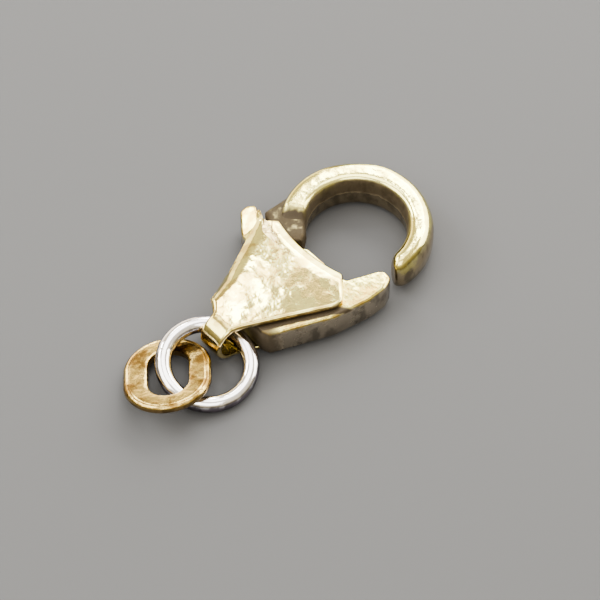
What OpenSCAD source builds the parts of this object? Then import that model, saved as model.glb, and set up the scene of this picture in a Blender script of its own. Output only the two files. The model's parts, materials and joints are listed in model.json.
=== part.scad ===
// Trigger clasp of a fine chain, with its jump ring and the chain's end link, lying on a flat surface.
// Millimetres. X runs along the clasp from the eye to the hook ring, Y runs across it toward the thumb tab,
// Z is up, and the origin is the centre of the hook ring on the surface the clasp lies on.

/* [Hook ring] */
// Outside diameter of the hook ring
ring_outer_d = 6.6; // [6.2:0.1:7.2]
// Width of the ring's metal, seen from above
ring_width = 1.12; // [0.9:0.02:1.3]
// Height of the ring's metal
ring_height = 1.8; // [1.6:0.05:1.9]
// Rounding of the ring's four long edges
ring_edge_r = 0.28; // [0.2:0.04:0.4]
// Open space between the lever's tip and the hook's point
point_gap = 0.4; // [0.2:0.05:0.5]

/* [Housing] */
// Height over both cheeks
housing_height = 2.0; // [1.95:0.05:2.4]
// Thickness of the housing's sheet
sheet = 0.28; // [0.2:0.02:0.32]
// Width across the housing's widest place
housing_width = 5.9; // [5.7:0.1:6.3]
// Slope of the housing's two long sides, as rise over run
side_slope = 0.5; // [0.46:0.01:0.52]
// Rounding of the folded long side
fold_r = 0.85; // [0.5:0.05:0.9]
// Radius of the hollow front edge that faces the hook's opening
front_edge_r = 6.75; // [5:0.25:9]

/* [Eye] */
// Length from the hook ring's far end to the outside of the eye
clasp_length = 12.0; // [11.8:0.1:12.6]
// Width of the strap that forms the eye
strap_width = 1.2; // [1:0.04:1.4]

/* [Lever] */
// Distance from the ring's centre back to the hinge
hinge_back = 5.3; // [5.1:0.05:5.5]
// Diameter of the hinge pin
pin_d = 0.8; // [0.5:0.05:1]
// Gap between the lever and each cheek
lever_gap = 0.07; // [0.04:0.01:0.12]
// Reach of the lever's tip from the hinge
lever_reach = 5.05; // [4.9:0.05:5.2]
// Width of the lever's neck behind the thumb tab
neck_width = 0.85; // [0.6:0.05:0.95]
// Reach of the thumb tab's end from the hinge
tab_reach = 4.9; // [4.6:0.05:5.2]

/* [Jump ring] */
// Outside diameter of the jump ring
jump_outer_d = 4.36; // [4.2:0.04:4.44]
// Thickness of the jump ring's wire
jump_wire_d = 0.7; // [0.6:0.02:0.72]

/* [End link] */
// Length of the end link
link_length = 4.48; // [4.3:0.02:4.8]
// Width of the end link
link_width = 3.68; // [3.5:0.02:3.9]
// Thickness of the end link
link_thickness = 0.4; // [0.3:0.02:0.44]
// Length of the link's hole
link_hole_length = 2.82; // [2.8:0.02:3]
// Width of the link's hole
link_hole_width = 1.7; // [1.68:0.02:1.9]

/* [Hidden] */
$fn = 72;
// Running clearance of the pin in the lever, and its close fit in the cheeks, on the radius
pin_run_gap = 0.03;
pin_fit_gap = 0.01;
// Slack that a cutting body reaches past what it cuts
over = 1;
// How deep the hook's root is soldered into each cheek, and how far it stands back from the ring's inside
root_bite = 0.06;
root_step = 0.03;
// Height of the root where it shows between the ring and the housing
root_height = 1.1;

mid_z = housing_height / 2;
ring_r_out = ring_outer_d / 2;
ring_r_in = ring_r_out - ring_width;

// Angles of the full ring section, seen from above and counted from the X axis
ring_from = -112;
ring_to = 136;
// Slope of the ring's end, where it runs down to the root, and how far below the root's top it ends
ring_end_slope = 28;
ring_end_sink = 0.04;

// The hinge, a little off the centre line toward the lever's gate
hinge = [-hinge_back, -0.3];

// Inside space between the cheeks
gap_z0 = sheet;
gap_z1 = housing_height - sheet;

// The eye's fold, its centre and the strap's place across
eye_r = housing_height / 2;
eye_x = ring_r_out - clasp_length + eye_r;
strap_y = -0.28;

// The folded long side is a straight line through this place at the wide end
side_x = -3.88;
side_y = 0.475 * housing_width;
side_angle = atan(side_slope);
// Where the two long sides turn into the strap, before and behind the fold's centre
flare_length = 0.35;
flare_x = eye_x + flare_length;
strap_start = 0.15;
strap_x = eye_x - strap_start;
// Where the folded side ends near the hook ring, and where the straight edge on the gate's side ends
fold_end_x = -2.55;
gate_edge_x = -3.52;
// The notch between the folded side's end and the cheek's corner: the fold's inner corner, then the bottom
fold_corner = [-2.86, 2.84];
notch = [-3.2, 2.37];
// The housing's two front corners and the ends of the hollow edge between them
root_corner = [-2.95, 2.55];
root_edge = [-2.3, 2.1];
gate_corner = [-2.42, -1.72];
gate_edge = [-2.2, -0.9];

// The deepest place of the hollow front edge: how far back from the ring's centre, and where across
front_edge_back = 2.76;
front_edge_y = 0.3;

// The slot in the folded side through which the thumb tab comes out, along the side
slot_from = -2.4;
slot_to = 2.2;
// How far the eye's sides are open past the fold's centre, up to the place behind the lever's heel
eye_open_length = 0.75;
eye_open_x = eye_x + eye_open_length;

lever_z0 = gap_z0 + lever_gap;
lever_z1 = gap_z1 - lever_gap;
// How far the lever's heel stays in front of the eye's fold centre, and the same as a part of the reach
heel_front = 0.84;
heel = (eye_x + heel_front + hinge_back) / lever_reach;
// Direction of the neck from the hinge to the thumb tab, and where it starts inside the web
neck_angle = 59.9;
neck_start = pin_d / 4;
// The tab's sloping face: its slope, where along the neck it starts, and the place of its ridge across the
// neck, as a part of the neck's width
tab_slope = 28;
tab_slope_start = 3.2;
tab_ridge = 0.4;

jump_r = (jump_outer_d - jump_wire_d) / 2;
jump_lean = 12.8;
jump_turn = 78;
// The ring's centre, from the fold's centre and the strap's middle; it touches the ground on one side
jump_back = 1.52;
jump_side = 0.54;
jump_at = [eye_x - jump_back, strap_y - jump_side, jump_r * sin(jump_lean) + jump_wire_d / 2];

link_lean = 15.4;
link_turn = 77.7;
link_spin = 50.6;
// The link's centre, from the jump ring's centre
link_back = 1.61;
link_side = 0.64;
link_up = 0.04;
link_at = jump_at + [-link_back, link_side, link_up];
// How far the hole is off the link's middle, as the link is worn thin on one long side
link_hole_shift = 0.05;

// Points of a corner at p rounded to radius r between its neighbours a and b
function corner(a, p, b, r, n = 5) =
    r <= 0 ? [p] :
    let (
        u = (a - p) / norm(a - p),
        v = (b - p) / norm(b - p),
        half = acos(max(-1, min(1, u * v))) / 2,
        w = (u + v) / norm(u + v),
        c = p + w * r / sin(half),
        s = p + u * r / tan(half) - c,
        e = p + v * r / tan(half) - c,
        a0 = atan2(s[1], s[0]),
        turn = atan2(e[1], e[0]) - a0,
        sweep = turn > 180 ? turn - 360 : (turn < -180 ? turn + 360 : turn)
    )
    [for (i = [0:n]) c + r * [cos(a0 + sweep * i / n), sin(a0 + sweep * i / n)]];

// An outline from a list of [x, y, corner radius]
function outline(pts) = [
    for (i = [0:len(pts) - 1])
        let (
            k = len(pts),
            a = pts[(i + k - 1) % k],
            p = pts[i],
            b = pts[(i + 1) % k]
        )
        each corner([a[0], a[1]], [p[0], p[1]], [b[0], b[1]], p[2])
];

// Height of the housing's long sides at a place along the clasp
function upper_y(x) = side_y + side_slope * (x - side_x);
function lower_y(x) = -side_y - side_slope * (x - side_x);

// A rectangle with four round corners
module round_rect(w, h, r) {
    union() {
        translate([-w / 2 + r, -h / 2]) square([w - 2 * r, h]);
        translate([-w / 2, -h / 2 + r]) square([w, h - 2 * r]);
        for (x = [-w / 2 + r, w / 2 - r])
            for (y = [-h / 2 + r, h / 2 - r])
                translate([x, y]) circle(r = r);
    }
}

// The housing seen from above, with its hollow front edge
module housing_plan() {
    difference() {
        polygon(outline([
            [root_edge[0], root_edge[1], 0],
            [root_corner[0], root_corner[1], 0.12],
            [notch[0], notch[1], 0.05],
            [fold_corner[0], fold_corner[1], 0.1],
            [fold_end_x, upper_y(fold_end_x), 0.15],
            [flare_x, upper_y(flare_x), 0.7],
            [strap_x, strap_y + strap_width / 2, 0.3],
            [eye_x - eye_r - over, strap_y + strap_width / 2, 0],
            [eye_x - eye_r - over, strap_y - strap_width / 2, 0],
            [strap_x, strap_y - strap_width / 2, 0.5],
            [flare_x, lower_y(flare_x), 0.7],
            [gate_edge_x, lower_y(gate_edge_x), 0.55],
            [gate_corner[0], gate_corner[1], 0.25],
            [gate_edge[0], gate_edge[1], 0]
        ]));
        translate([front_edge_r - front_edge_back, front_edge_y]) circle(r = front_edge_r);
    }
}

// Side view of the fold at the eye, from the fold's centre on toward the ring
module eye_profile(r) {
    rotate([90, 0, 0])
        linear_extrude(height = 4 * housing_width, center = true)
            translate([eye_x, mid_z])
                union() {
                    circle(r = r);
                    translate([0, -r]) square([clasp_length, 2 * r]);
                }
}

// The folded long side, seen along its length, moved in by the given amount
module side_profile(inset) {
    r = fold_r - inset;
    h = housing_height - 2 * inset;
    w = 3 * housing_width;
    translate([side_x, side_y, 0])
        rotate([0, 0, side_angle])
            rotate([90, 0, 90])
                linear_extrude(height = 3 * clasp_length, center = true)
                    translate([-inset, mid_z])
                        union() {
                            translate([-w, -h / 2]) square([w - r, h]);
                            translate([-r - over, -h / 2 + r]) square([r + over, h - 2 * r]);
                            for (s = [-1, 1]) translate([-r, s * (h / 2 - r)]) circle(r = r);
                        }
}

module housing_outside() {
    intersection() {
        linear_extrude(height = housing_height) housing_plan();
        eye_profile(eye_r);
        side_profile(0);
    }
}

// The space between the cheeks, open at the front edge and at the gate's side
module housing_inside() {
    intersection() {
        translate([-clasp_length, -housing_width, gap_z0])
            cube([1.5 * clasp_length, 2 * housing_width, gap_z1 - gap_z0]);
        eye_profile(eye_r - sheet);
        side_profile(sheet);
    }
}

// The slot for the thumb tab and the open sides of the eye
module side_openings() {
    translate([side_x, side_y, gap_z0])
        rotate([0, 0, side_angle])
            translate([slot_from, -over, 0])
                cube([slot_to - slot_from, 2 * over, gap_z1 - gap_z0]);
    intersection() {
        translate([eye_x - eye_r, -housing_width, gap_z0])
            cube([eye_open_x - eye_x + eye_r, 2 * housing_width, gap_z1 - gap_z0]);
        eye_profile(eye_r - sheet);
    }
}

// The ring's tall rounded section, turned about the ring's centre, cut off at the hook's point, and sloped down
// above and below at the other end
module hook_ring() {
    difference() {
        rotate([0, 0, ring_from])
            rotate_extrude(angle = ring_to - ring_from)
                translate([ring_r_out - ring_width / 2, mid_z])
                    round_rect(ring_width, ring_height, ring_edge_r);
        for (s = [0, 1])
            translate([0, 0, mid_z])
                mirror([0, 0, s])
                    translate([0, 0, root_height / 2 - ring_end_sink])
                        rotate([0, 0, ring_to])
                            rotate([-ring_end_slope, 0, 0])
                                translate([0, -housing_height, 0])
                                    cube([ring_outer_d, 2 * housing_height, housing_height]);
        translate([0, 0, -over])
            linear_extrude(height = housing_height + 2 * over)
                intersection() {
                    translate(hinge) circle(r = lever_reach + point_gap);
                    translate([-hinge_back, -2 * ring_outer_d]) square([2 * hinge_back, 2 * ring_outer_d - over]);
                }
    }
}

// The ring's root seen from above, from the ring's end to the place between the cheeks, as parts of the
// ring's outside radius
module root_plan() {
    difference() {
        polygon(ring_r_out * [
            [-0.091, 0.606],
            [-0.152, 0.976],
            [-0.721, 0.994],
            [-0.933, 0.636],
            [-0.842, 0.439],
            [-0.773, 0.318],
            [-0.7, 0.27],
            [-0.6, 0.27],
            [-0.5, 0.38]
        ]);
        circle(r = ring_r_in + root_step);
    }
}

// The root outside the housing is lower than the ring, and its tail fills the gap between the cheeks
module hook_root() {
    translate([0, 0, mid_z - root_height / 2])
        linear_extrude(height = root_height) root_plan();
    translate([0, 0, gap_z0 - root_bite])
        linear_extrude(height = gap_z1 - gap_z0 + 2 * root_bite)
            intersection() {
                root_plan();
                housing_plan();
            }
}

module body() {
    color("#d8c27a")
        difference() {
            union() {
                difference() {
                    housing_outside();
                    housing_inside();
                    side_openings();
                }
                hook_ring();
                hook_root();
            }
            translate([hinge[0], hinge[1], -over])
                cylinder(h = housing_height + 2 * over, d = pin_d + 2 * pin_fit_gap);
        }
}

// The lever seen from above: gate, web and heel, counted from the hinge as parts of the lever's reach
module lever_plan() {
    translate(hinge)
        intersection() {
            polygon(outline(lever_reach * [
                [0.861, -0.564, 0.059],
                [0.867, -0.478, 0.03],
                [0.826, -0.438, 0.03],
                [0.673, -0.376, 0.079],
                [0.555, -0.327, 0.05],
                [0.552, 0.131, 0.05],
                [0.475, 0.218, 0.03],
                [0.297, 0.347, 0.079],
                [0.238, 0.495, 0],
                [0.089, 0.297, 0.079],
                [heel + 0.071, 0.19, 0.099],
                [heel, 0.079, 0.059],
                [heel, -0.257, 0.03],
                [heel + 0.022, -0.327, 0.05],
                [0.232, -0.549, 0.297],
                [0.574, -0.618, 0.25],
                [0.752, -0.618, 0.119]
            ]));
            circle(r = lever_reach);
        }
}

// The neck and the thumb tab, in the direction from the hinge
module tab_plan() {
    translate(hinge)
        rotate([0, 0, neck_angle])
            polygon(outline([
                [neck_start, -neck_width / 2, 0],
                [0.97 * tab_reach, -neck_width / 2, 0.25 * neck_width],
                [1.01 * tab_reach, -0.05 * neck_width, 0.3 * neck_width],
                [0.985 * tab_reach, 0.3 * neck_width, 0.2 * neck_width],
                [0.78 * tab_reach, neck_width / 2, 0.3 * neck_width],
                [neck_start, neck_width / 2, 0]
            ]));
}

// What is cut off the top of the tab, so that the thumb meets a face that slopes down toward the eye
module tab_slope_cut() {
    translate([hinge[0], hinge[1], lever_z1])
        rotate([0, 0, neck_angle])
            translate([tab_slope_start, -tab_ridge * neck_width, 0])
                rotate([-tab_slope, 0, 0])
                    cube([tab_reach, 2 * neck_width, housing_height]);
}

module lever() {
    color("#cfae62")
        difference() {
            translate([0, 0, lever_z0])
                linear_extrude(height = lever_z1 - lever_z0)
                    union() {
                        lever_plan();
                        tab_plan();
                    }
            tab_slope_cut();
            translate([hinge[0], hinge[1], -over])
                cylinder(h = housing_height + 2 * over, d = pin_d + 2 * pin_run_gap);
        }
}

module hinge_pin() {
    color("#c8b06a")
        translate([hinge[0], hinge[1], 0])
            cylinder(h = housing_height, d = pin_d);
}

module jump_ring() {
    color("#dcdcde")
        translate(jump_at)
            rotate([0, 0, jump_turn])
                rotate([0, -jump_lean, 0])
                    rotate_extrude()
                        translate([jump_r, 0])
                            circle(d = jump_wire_d);
}

// An oval made of two half circles and the straight part between them
module oval(length, width) {
    union() {
        for (s = [-1, 1]) translate([s * (length - width) / 2, 0]) circle(d = width);
        square([length - width, width], center = true);
    }
}

module end_link() {
    color("#b98f45")
        translate(link_at)
            rotate([0, 0, link_turn])
                rotate([0, link_lean, 0])
                    rotate([0, 0, link_spin - link_turn])
                        linear_extrude(height = link_thickness, center = true)
                            difference() {
                                oval(link_length, link_width);
                                translate([0, -link_hole_shift]) oval(link_hole_length, link_hole_width);
                            }
}

body();
lever();
hinge_pin();
jump_ring();
end_link();
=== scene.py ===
# %% [markdown]
# A trigger clasp, worked out as surfaces
#
# The clasp is a sheet housing bent round at the eye, a hook ring with a tall rounded section, a sprung
# lever between the two cheeks, a silver jump ring and a worn oval link. Each piece is a surface of two
# parameters: a place along a path or an outline, and a place round a section. They are worked out as
# whole arrays, because a formula keeps the sizes of the solid part, rounds every edge by a known radius,
# and can be changed by number. Sculpting or bevelling a copy of the solid would also do, but it would
# lose those numbers.

# %% Load the fixed frame
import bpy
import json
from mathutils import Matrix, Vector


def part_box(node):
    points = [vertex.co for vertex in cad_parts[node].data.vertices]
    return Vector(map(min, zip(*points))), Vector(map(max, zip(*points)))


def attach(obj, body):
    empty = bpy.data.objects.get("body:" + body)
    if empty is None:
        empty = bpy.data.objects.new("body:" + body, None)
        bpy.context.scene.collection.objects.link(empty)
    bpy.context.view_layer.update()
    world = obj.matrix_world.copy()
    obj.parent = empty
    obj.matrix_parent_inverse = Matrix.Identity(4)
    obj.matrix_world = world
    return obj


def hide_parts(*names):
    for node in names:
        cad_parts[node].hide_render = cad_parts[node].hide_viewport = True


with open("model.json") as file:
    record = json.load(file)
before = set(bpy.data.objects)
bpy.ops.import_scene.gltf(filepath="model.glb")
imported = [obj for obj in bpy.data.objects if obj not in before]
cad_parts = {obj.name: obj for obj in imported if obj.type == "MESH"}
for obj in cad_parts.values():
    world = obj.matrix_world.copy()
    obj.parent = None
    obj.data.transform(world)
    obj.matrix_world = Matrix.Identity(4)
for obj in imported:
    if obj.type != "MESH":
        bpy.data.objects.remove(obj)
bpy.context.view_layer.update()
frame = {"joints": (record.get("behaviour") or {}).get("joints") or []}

# %% Modules for the steps
import json
import math

import bmesh
import bpy
import numpy as np
from mathutils import Matrix

print("Blender", bpy.app.version_string)

# %% [markdown]
# Sizes
#
# All lengths are millimetres, as in the solid part, and become metres when a mesh is made. What the
# solids settle is read from their boxes and from the lever's joint, to a micrometre, so the surfaces
# follow the solids. The other sizes are named where they are first needed.

# %% Sizes that the frame gives
MM = 0.001


def box_mm(node):
    """The lowest and the highest corner of a solid at rest, in millimetres."""
    return [[round(k / MM, 3) for k in corner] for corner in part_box(node)]


body_low, body_high = box_mm("body")
lever_low, lever_high = box_mm("lever")
pin_low, pin_high = box_mm("hinge_pin")
HEIGHT = body_high[2]
MID = HEIGHT / 2
RING_R = -body_low[1]
EYE_X = round(body_low[0] + MID, 3)
LEVER_LOW = lever_low[2]
LEVER_TOP = lever_high[2]
PIN_R = (pin_high[0] - pin_low[0]) / 2
HINGE = np.array([round(k / MM, 3) for k in frame["joints"][0]["pos_m"][:2]])
print("height", HEIGHT, "ring radius", RING_R, "eye at", EYE_X, "hinge at", HINGE)

# %% [markdown]
# From arrays to a piece
#
# A grid of points becomes quads, one between each four neighbours. Points that fall on the same place are
# made one, so seams and poles close and no face has zero area. Edges sharper than a given angle stay
# crisp, and all others are shaded smooth. How far each point faces up is kept on the mesh, because the
# finishes ask for it.

# %% Quads of a grid
def numbered(points, start=0):
    """The numbers of a grid's points, as a table with the grid's rows and columns."""
    return start + np.arange(points.shape[0] * points.shape[1]).reshape(points.shape[:2])


def grid_faces(ids, close_u=False, close_v=False):
    """The quads between neighbouring rows and columns of a table of point numbers."""
    if close_u:
        ids = np.vstack([ids, ids[:1]])
    if close_v:
        ids = np.hstack([ids, ids[:, :1]])
    corners = [ids[:-1, :-1], ids[1:, :-1], ids[1:, 1:], ids[:-1, 1:]]
    return np.stack([c.ravel() for c in corners], axis=1)


print("quads of a grid of 3 by 3 points:", len(grid_faces(numbered(np.zeros((3, 3, 3))))))

# %% A mesh object from points and faces
# Points nearer to each other than WELD become one, and edges shorter than SPECK are dissolved
WELD = 0.0005
SPECK = 0.0004


def make_piece(name, points, quads, caps=(), crisp=40.0):
    """A mesh object at the origin from points in millimetres, with doubles merged and faces outwards."""
    points = np.asarray(points, float).reshape(-1, 3)
    faces = np.asarray(quads).tolist() + [list(map(int, cap)) for cap in caps]
    mesh = bpy.data.meshes.new(name)
    mesh.from_pydata((points * MM).tolist(), [], faces)
    work = bmesh.new()
    work.from_mesh(mesh)
    bmesh.ops.remove_doubles(work, verts=work.verts, dist=WELD * MM)
    bmesh.ops.dissolve_degenerate(work, edges=work.edges, dist=SPECK * MM)
    bmesh.ops.recalc_face_normals(work, faces=work.faces)
    open_edges = sum(1 for e in work.edges if not e.is_manifold)
    work.to_mesh(mesh)
    work.free()
    mesh.shade_smooth()
    mesh.set_sharp_from_angle(angle=math.radians(crisp))
    normals = np.empty(3 * len(mesh.vertices), np.float32)
    mesh.vertex_normals.foreach_get("vector", normals)
    facing_up = mesh.attributes.new("facing_up", "FLOAT", "POINT")
    facing_up.data.foreach_set("value", normals[2::3].copy())
    piece = bpy.data.objects.new(name, mesh)
    bpy.context.scene.collection.objects.link(piece)
    print(name, len(mesh.polygons), "faces,", open_edges, "open edges")
    return piece


def place(piece, body, node):
    """The piece moves with a body and stands for a solid, which is hidden."""
    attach(piece, body)
    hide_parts(node)


# %% [markdown]
# Outlines with rounded corners
#
# A flat piece is a polygon whose corners are rounded. The inner outline is the same polygon with each
# side moved in by its own distance, so the strip between the two has room for a rounded edge that is wide
# on one side and narrow on another. Both outlines are sampled at matching places between matching
# corners. A bevel modifier is quicker, but a changing width would have to be laid on edge by edge as
# weights.

# %% The inner outline
# A corner counts as straight when the sine of its turn is below this
STRAIGHT = 0.03


def inset_corners(corners, before, after):
    """Corner i moves to where its two sides meet after they move in by before[i] and after[i].

    With the sides' inward normals n1 and n2 the move m solves m.n1 = before and m.n2 = after. At a corner
    that is nearly straight it is n1 times before.
    """
    ahead = np.roll(corners, -1, axis=0) - corners
    ahead /= np.linalg.norm(ahead, axis=1, keepdims=True)
    behind = np.roll(ahead, 1, axis=0)
    n1 = np.stack([-behind[:, 1], behind[:, 0]], axis=1)
    n2 = np.stack([-ahead[:, 1], ahead[:, 0]], axis=1)
    cross = n1[:, 0] * n2[:, 1] - n1[:, 1] * n2[:, 0]
    straight = np.abs(cross) < STRAIGHT
    safe = np.where(straight, 1.0, cross)
    x = (before * n2[:, 1] - after * n1[:, 1]) / safe
    y = (after * n1[:, 0] - before * n2[:, 0]) / safe
    flat = n1 * before[:, None]
    return corners + np.where(straight[:, None], flat, np.stack([x, y], axis=1))


square = np.array([[0, 0], [1, 0], [1, 1], [0, 1]], float)
print("a square moved in by 0.1:", inset_corners(square, np.full(4, 0.1), np.full(4, 0.1)).tolist())

# %% Round corners
CORNER_STEPS = 9
# An arc takes at most this share of a side
REACH_SHARE = 0.47
# In radians of half the corner's angle; such a corner gets a straight row instead of an arc
NEARLY_FLAT = 0.01
TINY = 1e-9


def rounded(corners, radii, steps=CORNER_STEPS):
    """A row of points round each corner: an arc that touches both sides. Shape (corners, steps, 2).

    An arc of radius r in a corner of half angle h touches the sides r / tan h from the corner, and its
    centre is r / sin h from it. It reaches along less than half of the shorter side.
    """
    u = np.roll(corners, 1, axis=0) - corners
    v = np.roll(corners, -1, axis=0) - corners
    lu = np.linalg.norm(u, axis=1, keepdims=True)
    lv = np.linalg.norm(v, axis=1, keepdims=True)
    u, v = u / lu, v / lv
    half = np.arccos(np.clip((u * v).sum(1), -0.9995, 0.9995))[:, None] / 2
    reach = np.minimum(radii[:, None] / np.tan(half), REACH_SHARE * np.minimum(lu, lv))
    radius = reach * np.tan(half)
    w = (u + v) / np.maximum(np.linalg.norm(u + v, axis=1, keepdims=True), TINY)
    centre = corners + w * radius / np.sin(half)
    start, end = corners + u * reach - centre, corners + v * reach - centre
    t = np.linspace(0, 1, steps)[None, :, None]
    arc = start[:, None] * (1 - t) + end[:, None] * t
    arc *= radius[:, None] / np.maximum(np.linalg.norm(arc, axis=2, keepdims=True), TINY)
    bent = centre[:, None] + arc
    line = corners[:, None] + (u * reach)[:, None] * (1 - t) + (v * reach)[:, None] * t
    nearly_straight = (np.abs(half - math.pi / 2) < NEARLY_FLAT)[:, None]
    return np.where(nearly_straight, line, bent)


print("points round the square's corners:", rounded(square, np.full(4, 0.2)).shape[:2])

# %% Points round an outline
CROWDING = 0.55


def sample_outline(corners, radii, counts, steps=CORNER_STEPS):
    """Points round the outline, counts[i] of them from the middle of corner i to the middle of the next.

    The share t of the way becomes t - k sin(2 pi t) / (2 pi), so the points lie closer at the corners.
    """
    arcs = rounded(corners, radii, steps)
    middle = steps // 2
    out = []
    for i, count in enumerate(counts):
        if count == 0:
            continue
        part = np.vstack([arcs[i, middle:], arcs[(i + 1) % len(corners), : middle + 1]])
        run = np.r_[0, np.cumsum(np.linalg.norm(np.diff(part, axis=0), axis=1))]
        t = np.linspace(0, 1, count + 1)[:-1]
        t = t - CROWDING * np.sin(2 * np.pi * t) / (2 * np.pi)
        out.append(np.stack([np.interp(t * run[-1], run, part[:, k]) for k in (0, 1)], axis=1))
    return np.vstack(out)


def spread(values_from, values_to, counts):
    """A number for each sampled point, running from one corner's value to the next corner's."""
    parts = [np.linspace(a, b, n + 1)[:-1] for a, b, n in zip(values_from, values_to, counts)]
    return np.concatenate(parts)


print("points round the square:", len(sample_outline(square, np.full(4, 0.2), [5] * 4)))

# %% An outline's table
SHARPEST = 0.03


def read_table(rows):
    """The columns of an outline's table as arrays."""
    places = np.array([np.asarray(row[0], float) for row in rows])
    return (places,) + tuple(np.array([row[k] for row in rows]) for k in (1, 2, 3, 4))


def strip_of(rows):
    """Outer points, matching inner points and the strip's width at each, from an outline's table."""
    places, radii, before, after, counts = read_table(rows)
    inner_places = inset_corners(places, before, after)
    outer = sample_outline(places, radii, counts)
    inner = sample_outline(inner_places, np.maximum(radii - (before + after) / 2, SHARPEST), counts)
    width = spread(after, np.roll(before, -1), counts)
    return outer, inner, width


def smooth_step(share):
    """From 0 to 1 with level ends: 3 s^2 - 2 s^3, for a share s from 0 to 1."""
    return share * share * (3 - 2 * share)


print("smooth step at a quarter:", smooth_step(0.25))

# %% [markdown]
# Housing
#
# The real housing is one blank of gold sheet: a cheek, the strap that becomes the eye, and the other
# cheek, mirrored. It is bent round a mandrel at the eye and folded over along one long side. So it is
# drawn flat first and bent by a formula afterwards. The blank's edge is a rounded strip, wide where the
# long side is folded over and narrow elsewhere. The front edge is an arc round the hook ring, with a
# small notch where the fold begins.

# %% Sizes of the blank
SHEET = 0.28
STRAP_Y = -0.28
STRAP_WIDTH = 1.2
BEND_R = MID - SHEET / 2
FOLD_BACK = EYE_X - BEND_R * math.pi / 2
# The usual width of the rounded strip
RIM = 0.15
# A long side goes through this place with this slope
SIDE_X, SIDE_Y, SIDE_SLOPE = -3.88, 2.8025, 0.5
# The front edge is an arc about this place, between these angles in degrees
FRONT_X, FRONT_Y, FRONT_R = 3.99, 0.3, 6.75
FRONT_TURNS = (197.6, 163.8)
print("bend radius", BEND_R, "the blank is mirrored at x =", round(FOLD_BACK, 3))

# %% The blank's outline
def side(x, sign):
    """A place on one of the two long sides: y is a straight line of x, with its sign for the other side."""
    return [x, sign * (SIDE_Y + SIDE_SLOPE * (x - SIDE_X))]


strap_low = STRAP_Y - STRAP_WIDTH / 2
strap_high = STRAP_Y + STRAP_WIDTH / 2
turn = np.radians(np.linspace(*FRONT_TURNS, 13))
front_arc = np.stack([FRONT_X + FRONT_R * np.cos(turn), FRONT_Y + FRONT_R * np.sin(turn)], axis=1)
# Columns: place, corner radius, strip width before and after the corner, points to the next corner
low_side = [
    ([FOLD_BACK, strap_low], 0.0, RIM, RIM, 26),
    ([-7.85, strap_low], 0.5, RIM, 0.17, 10),
    (side(-7.35, -1), 0.7, RIM, 0.13, 40),
    (side(-3.52, -1), 0.62, 0.13, RIM, 14),
]
front = [
    (front_arc[0], 0.3, RIM, 0.12, 3),
    *[(p, 0.0, 0.12, 0.12, 3) for p in front_arc[1:-1]],
]
high_side = [
    (front_arc[-1], 0.1, 0.12, 0.1, 4),
    ([-2.95, 2.55], 0.13, 0.1, 0.1, 4),
    ([-3.2, 2.37], 0.05, 0.1, 0.08, 5),
    ([-2.86, 2.84], 0.1, 0.08, 0.12, 5),
    (side(-2.55, 1), 0.16, 0.12, 0.36, 8),
    (side(-3.3, 1), 0.0, 0.85, 0.85, 18),
    (side(-6.4, 1), 0.0, 0.75, 0.75, 10),
    (side(-7.35, 1), 0.5, 0.42, 0.3, 10),
    ([-7.85, strap_high], 0.35, 0.2, RIM, 26),
]
beyond = [
    ([FOLD_BACK, strap_high], 0.0, RIM, RIM, 0),
    ([FOLD_BACK - 2, strap_high], 0.0, RIM, RIM, 0),
    ([FOLD_BACK - 2, strap_low], 0.0, RIM, RIM, 0),
]
outer, inner, width = strip_of(low_side + front + high_side + beyond)
outer = np.vstack([outer, [[FOLD_BACK, strap_high]]])
inner = np.vstack([inner, [[FOLD_BACK, strap_high - RIM]]])
width = np.r_[width, RIM]
low_count = sum(row[4] for row in low_side)
front_count = sum(row[4] for row in front)
print("points: low side", low_count, "front", front_count, "in all", len(outer))

# %% [markdown]
# The cheek's height
#
# A cheek of the real clasp isn't flat: it is slightly domed, its front edge is bevelled, and the fold's
# rounding runs out near its end. All three are heights over the same flat place (x, y), so they are
# functions of it, and no edge has to be cut into the mesh.

# %% Dome, bevel and the fold's end
DOME = 0.045
DOME_X, DOME_Y = -4.3, -0.1
DOME_LONG, DOME_WIDE = 3.6, 3.0
BEVEL, BEVEL_SLOPE, BEVEL_MOST = 0.42, 0.22, 0.09
FOLD_R = 0.85
FOLD_ENDS, FOLD_FADE, FOLD_MOST = -3.5, 0.4, 0.2
# The share of a way along y that is square to a long side
SQUARE_OFF = 0.894


def dome_drop(x, y):
    """How far the cheek lies below its highest level.

    With r the distance from the dome's middle, as a share of its half lengths, the dome falls by
    D (1 - (1 - r^2)^2). Near the front it also falls in proportion to how far it is inside the bevel.
    """
    r2 = np.clip(((x - DOME_X) / DOME_LONG) ** 2 + ((y - DOME_Y) / DOME_WIDE) ** 2, 0, 1)
    from_front = np.hypot(x - FRONT_X, y - FRONT_Y) - FRONT_R
    bevel = np.maximum(BEVEL - from_front, 0) * BEVEL_SLOPE
    return DOME * (1 - (1 - r2) ** 2) + np.minimum(bevel, BEVEL_MOST)


def fold_top(x, y):
    """The height that the fold's rounding leaves near its end.

    At a distance d square to the folded side, a fold of radius R has fallen by R - sqrt(R^2 - (R - d)^2).
    """
    off_side = np.clip((SIDE_Y + SIDE_SLOPE * (x - SIDE_X) - y) * SQUARE_OFF, 0.1, FOLD_R)
    fall = FOLD_R - np.sqrt(FOLD_R ** 2 - (FOLD_R - off_side) ** 2)
    near_end = np.clip((x - FOLD_ENDS) / FOLD_FADE, 0, 1)
    return HEIGHT - np.minimum(fall, FOLD_MOST) * smooth_step(near_end)


print("the cheek's edge beside the ring lies lower by", round(float(dome_drop(-2.7, 0.3)), 3))

# %% [markdown]
# The rounded strip
#
# Across the strip the section is an arc that turns from level to upright. On most of the edge it stops at
# the sheet's thickness, turns under with a fine rim and comes back along the underside. On a stretch of
# the folded side, toward the eye, it goes on down to the middle height, where it meets the strip of the
# other cheek. The rest of that side is left open, as the slot that the thumb's tab comes out of.

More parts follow.
